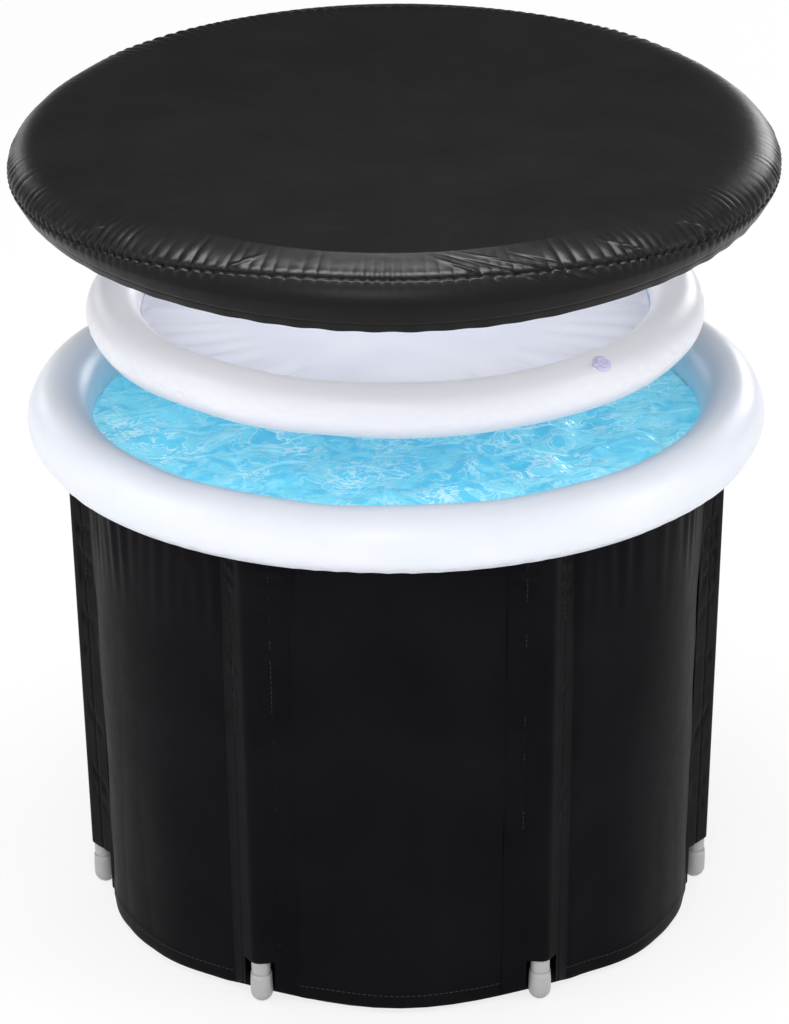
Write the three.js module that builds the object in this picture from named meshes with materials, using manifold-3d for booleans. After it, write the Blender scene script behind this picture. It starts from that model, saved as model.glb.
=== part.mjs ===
// A portable cold plunge tub: a soft round tub held up by poles, with an inflated collar,
// an inflatable lid and a fitted cover, shown with the lid and the cover raised.
// Millimetres, +Z up, floor at z = 0. The front is -Y, and azimuth runs from the front towards +X.
import * as THREE from "three";
import { mergeVertices } from "three/addons/utils/BufferGeometryUtils.js";
import Module from "manifold-3d";

const wasm = await Module();
wasm.setup();

// Tub mouth
const TUB_HEIGHT = 750;
const COLLAR_RING_RADIUS = 452;
const COLLAR_TUBE_RADIUS = 44;
const COLLAR_SKIN = 2;
const COLLAR_HEIGHT = TUB_HEIGHT - COLLAR_TUBE_RADIUS;
const COLLAR_VALVE_AZIMUTH = 180;
const COLLAR_VALVE_TILT = 40;

// Wall, measured on its outer face where a pole stands
const WALL_FOOT_INSET = 60;
const WALL_FOOT_RADIUS = COLLAR_RING_RADIUS - WALL_FOOT_INSET;
const WALL_SPREAD = 22;
const WALL_SPREAD_HEIGHT = 645;
const WALL_BULGE = 13;
const FABRIC = 2;
const FOAM = 7;
const LINER = 1.5;
const LAYER_GAP = 0.4;
const HEM_HEIGHT = 8;
const FLOOR_LINER_TOP = 12.3;
const WALL_SEGMENTS = 72;

// Poles and their pockets
const POLE_AZIMUTHS = [27, 90, 153, 207, 270, 333];
const POLE_RADIUS = 13;
const POLE_WALL = 2;
const POLE_FOOT_OFFSET = 16;
const POLE_TOP_DROP = 104;
const POLE_TOP = TUB_HEIGHT - POLE_TOP_DROP;
const POLE_BOTTOM = 9;
const FOOT_RADIUS = 15;
const FOOT_HEIGHT = 42;
const POCKET_HALF_WIDTH = 28;
const POCKET_OVER_POLE = 12;
const POCKET_TOP = POLE_TOP + POCKET_OVER_POLE;
const NOTCH_HALF_WIDTH = 16.5;
const NOTCH_TOP = 62;

// Inflatable lid, raised above the mouth
const LID_INSET = 75;
const LID_RING_RADIUS = COLLAR_RING_RADIUS - LID_INSET;
const LID_TUBE_RADIUS = 36.5;
const LID_SKIN = 1.6;
const LID_RAISED = 104;
const LID_HEIGHT = TUB_HEIGHT + LID_RAISED;
const MEMBRANE = 1.2;
const MEMBRANE_SAG = 14;
const LID_VALVE_AZIMUTH = 42;
const LID_VALVE_TILT = 55;

// Fitted cover, raised above the lid
const COVER_RAISED = 246;
const COVER_TOP = LID_HEIGHT + COVER_RAISED;
const COVER_OVERHANG = 60;
const COVER_SHOULDER_WIDTH = 112;
const COVER_WIDEST_RADIUS = COLLAR_RING_RADIUS + COVER_OVERHANG;
const COVER_FLAT_RADIUS = COVER_WIDEST_RADIUS - COVER_SHOULDER_WIDTH;
const COVER_SHOULDER_DROP = 36;
const COVER_SKIRT_DROP = 44;
const COVER_HEM_INSET = 11.4;
const COVER_WIDEST_HEIGHT = COVER_TOP - COVER_SHOULDER_DROP;
const COVER_HEM_RADIUS = COVER_WIDEST_RADIUS - COVER_HEM_INSET;
const COVER_HEM_HEIGHT = COVER_WIDEST_HEIGHT - COVER_SKIRT_DROP;
const COVER_FABRIC = 1.8;
const COVER_TILT = 26.5;
const COVER_SIDE_DROOP = 8.25;
const GATHER_COUNT = 36;
const GATHER_DEPTH = 2.5;
const COVER_SEGMENTS = 72;

// Drain at the back
const DRAIN_AZIMUTH = 180;
const DRAIN_HEIGHT = 50;
const DRAIN_THREAD_RADIUS = 16;
const DRAIN_BORE_RADIUS = 11;

const radians = THREE.MathUtils.degToRad;
const wallLean = Math.atan(WALL_SPREAD / WALL_SPREAD_HEIGHT);

const fabricBlack = new THREE.MeshStandardMaterial({ color: 0x1c1c1e, roughness: 0.75, metalness: 0 });
const coverBlack = new THREE.MeshStandardMaterial({ color: 0x242424, roughness: 0.45, metalness: 0 });
const foamWhite = new THREE.MeshStandardMaterial({ color: 0xe8e8e6, roughness: 0.9, metalness: 0 });
const linerWhite = new THREE.MeshStandardMaterial({ color: 0xeef2f8, roughness: 0.5, metalness: 0 });
const vinylWhite = new THREE.MeshStandardMaterial({ color: 0xf2f5fc, roughness: 0.35, metalness: 0 });
const vinylClear = new THREE.MeshStandardMaterial({ color: 0xd2d7eb, roughness: 0.3, metalness: 0 });
const pipeGrey = new THREE.MeshStandardMaterial({ color: 0xbebebe, roughness: 0.4, metalness: 0 });
const drainGrey = new THREE.MeshStandardMaterial({ color: 0x2a2a2c, roughness: 0.5, metalness: 0 });
const sealRubber = new THREE.MeshStandardMaterial({ color: 0x151515, roughness: 0.85, metalness: 0 });

// A body of revolution about +Z. The profile holds [radius, height] pairs, up on the outside.
function revolve(profile, segments) {
  const points = profile.map(([radius, height]) => new THREE.Vector2(radius, height));
  const geometry = new THREE.LatheGeometry(points, segments);
  return geometry.rotateX(Math.PI / 2);
}

// A ring of revolution: its profile closes on itself.
function revolveRing(profile, segments) {
  return revolve([...profile, profile[0]], segments);
}

// Moves each vertex to the radius and height that change gives for its own radius, height and azimuth.
function mould(geometry, change) {
  const position = geometry.getAttribute("position");
  for (let i = 0; i < position.count; i++) {
    const x = position.getX(i);
    const y = position.getY(i);
    const azimuth = Math.atan2(x, -y);
    const [radius, height] = change(Math.hypot(x, y), position.getZ(i), azimuth);
    position.setXYZ(i, radius * Math.sin(azimuth), -radius * Math.cos(azimuth), height);
  }
  return geometry;
}

function circlePoints(centreRadius, centreHeight, radius, count) {
  const points = [];
  for (let i = 0; i < count; i++) {
    const angle = (2 * Math.PI * i) / count;
    points.push([centreRadius + radius * Math.cos(angle), centreHeight + radius * Math.sin(angle)]);
  }
  return points;
}

function toSolid(geometry) {
  const bare = new THREE.BufferGeometry();
  bare.setAttribute("position", geometry.getAttribute("position"));
  bare.setIndex(geometry.getIndex());
  const merged = mergeVertices(bare, 1e-3);
  const index = merged.getIndex().array;
  const kept = [];
  for (let i = 0; i < index.length; i += 3) {
    const [a, b, c] = [index[i], index[i + 1], index[i + 2]];
    if (a !== b && b !== c && c !== a) kept.push(a, b, c);
  }
  const vertProperties = merged.getAttribute("position").array;
  return new wasm.Manifold(new wasm.Mesh({ numProp: 3, vertProperties, triVerts: new Uint32Array(kept) }));
}

function toGeometry(solid) {
  const mesh = solid.getMesh();
  const geometry = new THREE.BufferGeometry();
  geometry.setAttribute("position", new THREE.BufferAttribute(new Float32Array(mesh.vertProperties), 3));
  geometry.setIndex(new THREE.BufferAttribute(new Uint32Array(mesh.triVerts), 1));
  return geometry;
}

function cut(geometry, ...tools) {
  let solid = toSolid(geometry);
  for (const tool of tools) solid = solid.subtract(toSolid(tool));
  return toGeometry(solid);
}

function join(geometry, ...others) {
  let solid = toSolid(geometry);
  for (const other of others) solid = solid.add(toSolid(other));
  return toGeometry(solid);
}

function piece(group, name, geometry, material) {
  const mesh = new THREE.Mesh(geometry, material);
  mesh.name = name;
  group.add(mesh);
  return mesh;
}

// The frame of something that stands on the wall: +Z up along the wall, -Y out of it, X round it.
function wallFrame(azimuthDegrees, footRadius) {
  const group = new THREE.Group();
  const azimuth = radians(azimuthDegrees);
  group.rotation.set(wallLean, 0, azimuth, "ZXY");
  group.position.set(footRadius * Math.sin(azimuth), -footRadius * Math.cos(azimuth), 0);
  group.updateMatrixWorld(true);
  return group;
}

// The frame of something on an inflated tube: +Z out of the skin, X round the ring.
function tubeFrame(ringRadius, ringHeight, tubeRadius, azimuthDegrees, tiltDegrees) {
  const group = new THREE.Group();
  const azimuth = radians(azimuthDegrees);
  const tilt = radians(tiltDegrees);
  const radius = ringRadius + tubeRadius * Math.cos(tilt);
  const height = ringHeight + tubeRadius * Math.sin(tilt);
  group.rotation.set(Math.PI / 2 - tilt, 0, azimuth, "ZXY");
  group.position.set(radius * Math.sin(azimuth), -radius * Math.cos(azimuth), height);
  group.updateMatrixWorld(true);
  return group;
}

function inFrame(group, geometry) {
  return geometry.clone().applyMatrix4(group.matrixWorld);
}

function wallLine(height) {
  return WALL_FOOT_RADIUS + (WALL_SPREAD * height) / WALL_SPREAD_HEIGHT;
}

// The wall is held back at each pole and swells out between them.
function wallBulge(azimuth) {
  const degrees = (THREE.MathUtils.radToDeg(azimuth) + 360) % 360;
  const count = POLE_AZIMUTHS.length;
  let share = 0;
  for (let i = 0; i < count; i++) {
    const start = POLE_AZIMUTHS[i];
    const span = (POLE_AZIMUTHS[(i + 1) % count] - start + 360) % 360;
    const along = (degrees - start + 360) % 360;
    if (along <= span) share = along / span;
  }
  return WALL_BULGE * Math.sin(Math.PI * share) ** 2;
}

// The floor layers take up the swelling towards their edges.
function swell(radius, azimuth) {
  const share = radius / WALL_FOOT_RADIUS;
  return radius + wallBulge(azimuth) * THREE.MathUtils.smoothstep(share, 0.714, 0.944);
}

function collarUnderside(radius) {
  const inside = COLLAR_TUBE_RADIUS ** 2 - (COLLAR_RING_RADIUS - radius) ** 2;
  return COLLAR_HEIGHT - Math.sqrt(Math.max(inside, (0.68 * COLLAR_TUBE_RADIUS) ** 2));
}

// A wall layer swells between the poles, and its top edge meets the collar from below.
function mouldLayer(geometry, topHeight) {
  return mould(geometry, (radius, height, azimuth) => {
    const swollen = swell(radius, azimuth);
    if (height < topHeight - 0.01) return [swollen, height];
    const raised = collarUnderside(swollen) - 0.35;
    return [swollen + (WALL_SPREAD * (raised - height)) / WALL_SPREAD_HEIGHT, raised];
  });
}

function drainFrame() {
  const azimuth = radians(DRAIN_AZIMUTH);
  const group = wallFrame(DRAIN_AZIMUTH, WALL_FOOT_RADIUS + wallBulge(azimuth));
  const outlet = new THREE.Group();
  outlet.position.set(0, 0, DRAIN_HEIGHT);
  outlet.rotation.x = Math.PI / 2;
  group.add(outlet);
  group.updateMatrixWorld(true);
  return { group, outlet };
}

const drain = drainFrame();

function drainHole() {
  const hole = new THREE.CylinderGeometry(DRAIN_THREAD_RADIUS, DRAIN_THREAD_RADIUS, 80, 24);
  hole.rotateX(Math.PI / 2);
  return inFrame(drain.outlet, hole);
}

function outerWall() {
  const topHeight = TUB_HEIGHT - 90;
  const hemTop = HEM_HEIGHT + 24;
  const profile = [
    [wallLine(HEM_HEIGHT) + 0.2, HEM_HEIGHT],
    [wallLine(hemTop) + 0.2, hemTop],
    [wallLine(hemTop) - 0.3, hemTop + 1],
    [wallLine(topHeight) - 0.3, topHeight],
    [wallLine(topHeight) - FABRIC, topHeight],
    [wallLine(HEM_HEIGHT) - FABRIC, HEM_HEIGHT],
  ];
  const geometry = mouldLayer(revolveRing(profile, WALL_SEGMENTS), topHeight);
  return cut(geometry, drainHole());
}

function insulationWall() {
  const low = 16;
  const high = POLE_TOP + 6;
  const outer = FABRIC + LAYER_GAP;
  const inner = outer + FOAM;
  const profile = [
    [wallLine(low) - outer, low],
    [wallLine(high) - outer, high],
    [wallLine(high) - inner, high],
    [wallLine(low) - inner, low],
  ];
  const geometry = mouldLayer(revolveRing(profile, WALL_SEGMENTS), 1000);
  return cut(geometry, drainHole());
}

function insulationBase() {
  const radius = wallLine(0) - FABRIC - FOAM - 10;
  const low = 2.9;
  const high = FLOOR_LINER_TOP - LINER - LAYER_GAP - 0.1;
  const geometry = revolve([[0, low], [radius, low], [radius, high], [0, high]], WALL_SEGMENTS);
  return mouldLayer(geometry, 1000);
}

function innerLiner() {
  const topHeight = TUB_HEIGHT - 82;
  const outer = FABRIC + FOAM + 2 * LAYER_GAP;
  const inner = outer + LINER;
  const low = FLOOR_LINER_TOP - LINER;
  const profile = [
    [0, low],
    [wallLine(low) - outer - 9, low],
    [wallLine(20) - outer, 20],
    [wallLine(topHeight) - outer, topHeight],
    [wallLine(topHeight) - inner, topHeight],
    [wallLine(21) - inner, 21],
    [wallLine(FLOOR_LINER_TOP) - inner - 9, FLOOR_LINER_TOP],
    [0, FLOOR_LINER_TOP],
  ];
  const geometry = mouldLayer(revolve(profile, WALL_SEGMENTS), topHeight);
  return cut(geometry, drainHole());
}

function basePanel() {
  const edge = wallLine(HEM_HEIGHT) - FABRIC - LAYER_GAP;
  const upstand = FLOOR_LINER_TOP + 0.5;
  const profile = [
    [0, 0],
    [edge - 9, 0],
    [edge, 7],
    [edge, upstand],
    [edge - FABRIC, upstand],
    [edge - FABRIC, 8],
    [edge - 10, 2.4],
    [0, 2.4],
  ];
  return mouldLayer(revolve(profile, WALL_SEGMENTS), 1000);
}

// An inflated ring is a thin skin with air inside, open only where the valve goes in.
function inflatedRing(ringRadius, height, tubeRadius, skin, sides, valveFrame) {
  const outside = revolveRing(circlePoints(ringRadius, height, tubeRadius, sides), 60);
  const inside = revolveRing(circlePoints(ringRadius, height, tubeRadius - skin, 8), 48);
  const hole = new THREE.CylinderGeometry(9, 9, 24, 16);
  hole.rotateX(Math.PI / 2);
  return cut(outside, inside, inFrame(valveFrame, hole));
}

// Bends a flat piece in the valve's frame over the round of the tube.
function bendOverTube(geometry, tubeRadius) {
  const position = geometry.getAttribute("position");
  for (let i = 0; i < position.count; i++) {
    const y = position.getY(i);
    const drop = tubeRadius - Math.sqrt(tubeRadius ** 2 - y ** 2);
    position.setZ(i, position.getZ(i) - drop);
  }
  return geometry;
}

function valveBase(tubeRadius) {
  const profile = [
    [5.2, -7],
    [8.6, -7],
    [8.6, 0.7],
    [13, 0.7],
    [13, 1.7],
    [9.5, 2.6],
    [5.2, 2.6],
  ];
  return bendOverTube(revolveRing(profile, 20), tubeRadius);
}

// The plug's stem fills the bore, and its strap runs to the hinge on the flange's edge.
function valvePlug() {
  const stem = revolve([[0, -3], [3.6, -3], [4.4, 3.1], [8.4, 3.1], [8.4, 4.6], [7.6, 5.2], [0, 5.2]], 20);
  const strap = new THREE.BoxGeometry(12, 5, 1.2);
  strap.translate(-12, 0, 3.8);
  return join(stem, strap);
}

function pole() {
  const inner = POLE_RADIUS - POLE_WALL;
  const profile = [
    [POLE_RADIUS, POLE_BOTTOM],
    [POLE_RADIUS, POLE_TOP],
    [inner, POLE_TOP],
    [inner, POLE_BOTTOM],
  ];
  return revolveRing(profile, 12);
}

function poleFoot() {
  const bore = POLE_RADIUS + 0.3;
  const domeHeight = FOOT_RADIUS / Math.cos(wallLean);
  const profile = [[0, domeHeight - FOOT_RADIUS]];
  for (const degrees of [30, 55, 75]) {
    const angle = radians(degrees);
    profile.push([FOOT_RADIUS * Math.sin(angle), domeHeight - FOOT_RADIUS * Math.cos(angle)]);
  }
  profile.push([FOOT_RADIUS, domeHeight], [FOOT_RADIUS, FOOT_HEIGHT - 12], [bore + 0.8, FOOT_HEIGHT]);
  profile.push([bore, FOOT_HEIGHT], [bore, POLE_BOTTOM - 0.3], [0, POLE_BOTTOM - 0.3]);
  return revolve(profile, 12);
}

function poleCap() {
  const plug = POLE_RADIUS - POLE_WALL - 0.3;
  const low = POLE_TOP - 16;
  const seat = POLE_TOP + 0.3;
  const top = seat + 4;
  const plugSide = [[0, low], [plug, low], [plug, seat]];
  const profile = [...plugSide, [POLE_RADIUS, seat], [POLE_RADIUS - 2, top], [0, top]];
  return revolve(profile, 12);
}

// Points of the arc that a strip of cloth follows over the pole, from one stitch line to the other.
function pocketSkin(radius, halfWidth, stitchLine) {
  const reach = Math.hypot(halfWidth, stitchLine);
  const start = Math.atan2(stitchLine, halfWidth) - Math.acos(radius / reach);
  const finish = -Math.PI - start;
  const points = [[halfWidth, stitchLine]];
  const steps = 8;
  for (let i = 0; i <= steps; i++) {
    const angle = start + ((finish - start) * i) / steps;
    points.push([radius * Math.cos(angle), radius * Math.sin(angle)]);
  }
  points.push([-halfWidth, stitchLine]);
  return points;
}

function polePocket() {
  const stitchLine = POLE_FOOT_OFFSET - 0.5;
  const outside = pocketSkin(POLE_RADIUS + 2.7, POCKET_HALF_WIDTH, stitchLine);
  const inside = pocketSkin(POLE_RADIUS + 1.1, POCKET_HALF_WIDTH - 4, stitchLine);
  const outline = [...outside.reverse(), ...inside].map(([x, y]) => new THREE.Vector2(x, y));
  const depth = POCKET_TOP - HEM_HEIGHT;
  const strip = new THREE.ExtrudeGeometry(new THREE.Shape(outline), { depth, bevelEnabled: false });
  strip.translate(0, 0, HEM_HEIGHT);
  const notch = new THREE.BoxGeometry(2 * NOTCH_HALF_WIDTH, 80, 2 * NOTCH_TOP);
  return cut(strip, notch);
}

function addLegs(tub) {
  POLE_AZIMUTHS.forEach((azimuth, i) => {
    const frame = wallFrame(azimuth, WALL_FOOT_RADIUS + POLE_FOOT_OFFSET);
    const number = i + 1;
    piece(frame, `pole_${number}`, pole(), pipeGrey);
    piece(frame, `pole_foot_${number}`, poleFoot(), pipeGrey);
    piece(frame, `pole_cap_${number}`, poleCap(), pipeGrey);
    piece(frame, `pole_pocket_${number}`, polePocket(), fabricBlack);
    tub.add(frame);
  });
}

function drainSpout() {
  const shank = DRAIN_THREAD_RADIUS - 1.5;
  const profile = [
    [DRAIN_BORE_RADIUS, -26],
    [shank, -26],
    [shank, 0.7],
    [26, 0.7],
    [26, 3.5],
    [24, 4.7],
    [DRAIN_THREAD_RADIUS, 4.7],
    [DRAIN_THREAD_RADIUS, 24],
    [DRAIN_BORE_RADIUS, 24],
  ];
  return revolveRing(profile, 24);
}

function drainWasher() {
  return revolveRing([[15, -15.2], [23, -15.2], [23, -13.4], [15, -13.4]], 24);
}

function drainNut() {
  const profile = [[14.9, -22], [23, -22], [23, -15.6], [14.9, -15.6]];
  return mould(revolveRing(profile, 48), (radius, height, azimuth) => {
    const lobes = radius > 20 ? 1.2 * Math.cos(6 * azimuth) : 0;
    return [radius + lobes, height];
  });
}

function drainSeal() {
  const inner = DRAIN_BORE_RADIUS - 2;
  return revolveRing([[inner, 24.3], [15.6, 24.3], [15.6, 26.3], [inner, 26.3]], 24);
}

function drainCap() {
  const bore = DRAIN_THREAD_RADIUS + 0.5;
  const profile = [[0, 26.6], [bore, 26.6], [bore, 12.5], [20, 12.5], [20, 28.5], [18.5, 30], [0, 30]];
  return mould(revolve(profile, 48), (radius, height, azimuth) => {
    const ribs = radius > 19 ? 0.8 * Math.cos(12 * azimuth) : 0;
    return [radius + ribs, height];
  });
}

function addDrain(tub) {
  piece(drain.outlet, "drain_spout", drainSpout(), drainGrey);
  piece(drain.outlet, "drain_washer", drainWasher(), sealRubber);
  piece(drain.outlet, "drain_nut", drainNut(), drainGrey);
  piece(drain.outlet, "drain_seal", drainSeal(), sealRubber);
  piece(drain.outlet, "drain_cap", drainCap(), drainGrey);
  tub.add(drain.group);
}

function addTub(root) {
  const tub = new THREE.Group();
  const valve = tubeFrame(
    COLLAR_RING_RADIUS,
    COLLAR_HEIGHT,
    COLLAR_TUBE_RADIUS,
    COLLAR_VALVE_AZIMUTH,
    COLLAR_VALVE_TILT,
  );
  const collar = inflatedRing(COLLAR_RING_RADIUS, COLLAR_HEIGHT, COLLAR_TUBE_RADIUS, COLLAR_SKIN, 12, valve);
  piece(tub, "outer_wall", outerWall(), fabricBlack);
  piece(tub, "insulation_wall", insulationWall(), foamWhite);
  piece(tub, "insulation_base", insulationBase(), foamWhite);
  piece(tub, "inner_liner", innerLiner(), linerWhite);
  piece(tub, "base_panel", basePanel(), fabricBlack);
  piece(tub, "air_collar", collar, vinylWhite);
  piece(valve, "collar_valve_base", valveBase(COLLAR_TUBE_RADIUS), vinylClear);
  piece(valve, "collar_valve_plug", valvePlug(), vinylClear);
  tub.add(valve);
  addLegs(tub);
  addDrain(tub);
  root.add(tub);
}

// The sheet across the lid hangs a little between the welds on the tube.
function lidMembrane() {
  const edge = LID_RING_RADIUS - LID_TUBE_RADIUS - 0.4;
  const profile = [];
  const stations = [0, 0.6, 1];
  const sag = (share) => LID_HEIGHT - MEMBRANE_SAG * (1 - share ** 2);
  for (const share of stations) profile.push([edge * share, sag(share) - MEMBRANE / 2]);
  for (const share of [...stations].reverse()) profile.push([edge * share, sag(share) + MEMBRANE / 2]);
  return revolve(profile, 60);
}

function addLid(root) {
  const lid = new THREE.Group();
  const valve = tubeFrame(LID_RING_RADIUS, LID_HEIGHT, LID_TUBE_RADIUS, LID_VALVE_AZIMUTH, LID_VALVE_TILT);
  const ring = inflatedRing(LID_RING_RADIUS, LID_HEIGHT, LID_TUBE_RADIUS, LID_SKIN, 12, valve);
  piece(lid, "lid_ring", ring, vinylWhite);
  piece(lid, "lid_membrane", lidMembrane(), vinylClear);
  piece(valve, "lid_valve_base", valveBase(LID_TUBE_RADIUS), vinylClear);
  piece(valve, "lid_valve_plug", valvePlug(), vinylClear);
  lid.add(valve);
  root.add(lid);
}

// The cover's outer outline from the middle of its top, over the shoulder and down to the hem.
function coverOutline() {
  const shoulder = new THREE.CubicBezierCurve(
    new THREE.Vector2(COVER_FLAT_RADIUS, COVER_TOP),
    new THREE.Vector2(COVER_FLAT_RADIUS + 0.625 * COVER_SHOULDER_WIDTH, COVER_TOP),
    new THREE.Vector2(COVER_WIDEST_RADIUS, COVER_WIDEST_HEIGHT + COVER_SHOULDER_DROP / 1.5),
    new THREE.Vector2(COVER_WIDEST_RADIUS, COVER_WIDEST_HEIGHT),
  );
  return shoulder.getPoints(5).map((point) => [point.x, point.y]);
}

// Moves an outline inwards by the cloth's thickness, square to each stretch.
function insideOf(outline, thickness) {
  return outline.map(([radius, height], i) => {
    const before = outline[Math.max(i - 1, 0)];
    const after = outline[Math.min(i + 1, outline.length - 1)];
    const along = Math.hypot(after[0] - before[0], after[1] - before[1]);
    const outX = -(after[1] - before[1]) / along;
    const outZ = (after[0] - before[0]) / along;
    return [radius - outX * thickness, height - outZ * thickness];
  });
}

// The cover's rim is lower in front than at the back and hangs at its sides.
// Its top is gathered into the seam.
function mouldCover(geometry, gathered) {
  return mould(geometry, (radius, height, azimuth) => {
    const share = (radius - COVER_FLAT_RADIUS) / COVER_SHOULDER_WIDTH;
    const outward = THREE.MathUtils.smoothstep(share, 0.18, 0.8);
    const tilt = COVER_TILT * Math.cos(azimuth);
    const droop = tilt - COVER_SIDE_DROOP * Math.cos(2 * azimuth);
    const nearSeam = gathered ? THREE.MathUtils.smoothstep(share, 0.72, 0.95) : 0;
    const gather = GATHER_DEPTH * nearSeam * (0.5 + 0.5 * Math.cos(GATHER_COUNT * azimuth));
    return [radius + gather, height - droop * outward];
  });
}

function coverTop() {
  const outline = coverOutline();
  const outer = [...outline].reverse();
  const inner = insideOf(outline, COVER_FABRIC);
  const middle = [[0, COVER_TOP - COVER_FABRIC], ...inner];
  return mouldCover(revolve([...middle, ...outer, [0, COVER_TOP]], COVER_SEGMENTS), true);
}

// The skirt runs in from the seam to the hem, which is folded up round the elastic.
function coverSkirt() {
  const seam = COVER_WIDEST_HEIGHT - 1.2;
  const hem = COVER_HEM_HEIGHT;
  const foldRadius = COVER_HEM_RADIUS - 3.4;
  const profile = [
    [foldRadius, hem],
    [COVER_HEM_RADIUS, hem],
    [COVER_WIDEST_RADIUS, seam],
    [COVER_WIDEST_RADIUS - COVER_FABRIC, seam],
    [COVER_HEM_RADIUS - 1, hem + 1.2],
    [foldRadius + 0.8, hem + 1.2],
    [foldRadius + 0.8, hem + 15],
    [foldRadius, hem + 15],
  ];
  return mouldCover(revolveRing(profile, COVER_SEGMENTS), false);
}

function coverElastic() {
  const inner = COVER_HEM_RADIUS - 2.25;
  const low = COVER_HEM_HEIGHT + 1.7;
  const profile = [[inner, low], [inner + 0.9, low], [inner + 0.9, low + 11], [inner, low + 11]];
  return mouldCover(revolveRing(profile, COVER_SEGMENTS), false);
}

function addCover(root) {
  const cover = new THREE.Group();
  piece(cover, "cover_top", coverTop(), coverBlack);
  piece(cover, "cover_skirt", coverSkirt(), coverBlack);
  piece(cover, "cover_elastic", coverElastic(), sealRubber);
  root.add(cover);
}

const coldPlungeTub = new THREE.Group();
addTub(coldPlungeTub);
addLid(coldPlungeTub);
addCover(coldPlungeTub);

export default coldPlungeTub;
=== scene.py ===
import math

import bpy
import numpy as np
from mathutils import Matrix, Vector


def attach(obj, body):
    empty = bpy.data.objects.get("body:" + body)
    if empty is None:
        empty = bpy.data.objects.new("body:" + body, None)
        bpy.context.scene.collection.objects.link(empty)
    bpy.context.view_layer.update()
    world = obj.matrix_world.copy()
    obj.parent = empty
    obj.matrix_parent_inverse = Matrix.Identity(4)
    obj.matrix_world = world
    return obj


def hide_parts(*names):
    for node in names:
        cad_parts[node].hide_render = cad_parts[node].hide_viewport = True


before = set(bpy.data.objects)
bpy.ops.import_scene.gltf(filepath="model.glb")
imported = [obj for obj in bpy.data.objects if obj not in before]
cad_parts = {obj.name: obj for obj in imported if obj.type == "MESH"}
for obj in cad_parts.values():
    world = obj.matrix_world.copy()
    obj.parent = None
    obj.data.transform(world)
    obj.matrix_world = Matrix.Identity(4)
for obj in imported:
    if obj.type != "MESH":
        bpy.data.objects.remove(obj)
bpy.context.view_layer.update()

# Sizes in metres, the same as the solids. The front is -Y, and azimuth runs from the front towards +X.
COLLAR_RING_RADIUS = 0.452
COLLAR_TUBE_RADIUS = 0.044
COLLAR_HEIGHT = 0.706
WALL_FOOT_RADIUS = 0.392
WALL_SPREAD = 0.022
WALL_SPREAD_HEIGHT = 0.645
WALL_BULGE = 0.013
WALL_TOP = 0.667
WALL_CLOTH = 0.0016
HEM_HEIGHT = 0.008
HEM_FOLD = 0.0007
HEM_SEAM_HEIGHT = 0.0315
HEM_STITCH_HEIGHT = 0.026
HEM_STITCHES = 350
STITCH_RADIUS = 0.0005
STITCH_LENGTH = 0.005
STITCH_STEP = 0.0072
POLE_AZIMUTHS = [27, 90, 153, 207, 270, 333]
POLE_RADIUS = 0.013
POLE_WALL = 0.002
POLE_LOW = 0.009
POLE_FOOT_OFFSET = 0.016
POLE_TOP = 0.646
FOOT_RADIUS = 0.015
POCKET_HALF_WIDTH = 0.028
POCKET_SPREAD = 0.050
POCKET_TOP = 0.658
POCKET_SLACK = 0.0026
POCKET_CLOTH = 0.0012
POCKET_CREASES = 14
POCKET_COLUMNS = 101
STITCH_DEPTH = 0.0028
POCKET_HEM_LIFT = 0.013
NOTCH_HALF_WIDTH = 0.023
SIDE_NOTCH_HALF_WIDTH = 0.043
NOTCH_TOP = 0.062
LID_RING_RADIUS = 0.377
LID_TUBE_RADIUS = 0.0365
LID_HEIGHT = 0.854
MEMBRANE_SAG = 0.014
MEMBRANE_THICKNESS = 0.0010
# Azimuth and tilt of each valve on its tube, and where the welds run round each tube, all in degrees
COLLAR_VALVE = (180, 40)
LID_VALVE = (42, 55)
COLLAR_WELDS = (200, 300)
LID_WELDS = (0, 180)
VALVE_SEGMENTS = 56
STRAP_STEPS = 9
COVER_TOP = 1.100
COVER_WIDEST_RADIUS = 0.512
COVER_HEM_RADIUS = 0.5006
COVER_CLOTH = 0.0009
TOP_ROWS = 60
SHOULDER_ROWS = 110
SKIRT_ROWS = 60
# Each outline of the cover: radius of its top, radius where the top starts to rise, rise, height of the
# widest circle, height of the hem, share of the shoulder's width over which it leaves the top, drop there
COVER_FRONT = (0.452, 0.385, -0.002, 1.0458, 1.010, 0.40, 0.010)
COVER_SIDE = (0.430, 0.220, 0.000, 1.0558, 1.036, 0.625, 0.0)
COVER_BACK = (0.470, 0.100, 0.014, 1.0960, 1.054, 0.625, 0.0)
# The seam lies above the widest circle, by more in front than at the sides
SEAM_ABOVE_WIDEST = 0.037
SEAM_SIDE_DROP = 0.034
COVER_GATHERS = 196
GATHER_HEIGHT = 0.0062
ELASTIC_ROWS = slice(-8, -1)
# Centre in degrees, distance above the seam, slant, width, reach and depth of each crease
COVER_CREASES = (
    (11, 0.010, 1.6, 0.0040, 0.016, 0.0030),
    (15, 0.012, 2.2, 0.0045, 0.018, -0.0030),
    (20, 0.012, 2.6, 0.0045, 0.018, 0.0032),
    (24, 0.010, 2.0, 0.0040, 0.016, -0.0026),
    (38, 0.012, 1.4, 0.0050, 0.020, 0.0024),
    (52, 0.010, 1.2, 0.0050, 0.022, 0.0024),
    (-24, 0.012, -1.2, 0.0050, 0.016, 0.0020),
    (-52, 0.010, -1.0, 0.0050, 0.022, 0.0022),
)
DRAIN_HEIGHT = 0.050
WATER_LEVEL = 0.690
WATER_RADIUS = 0.4120
WATER_WAVES = 26
CLOTH_GRAIN = 1400.0
FOAM_GRAIN = 900.0

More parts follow.
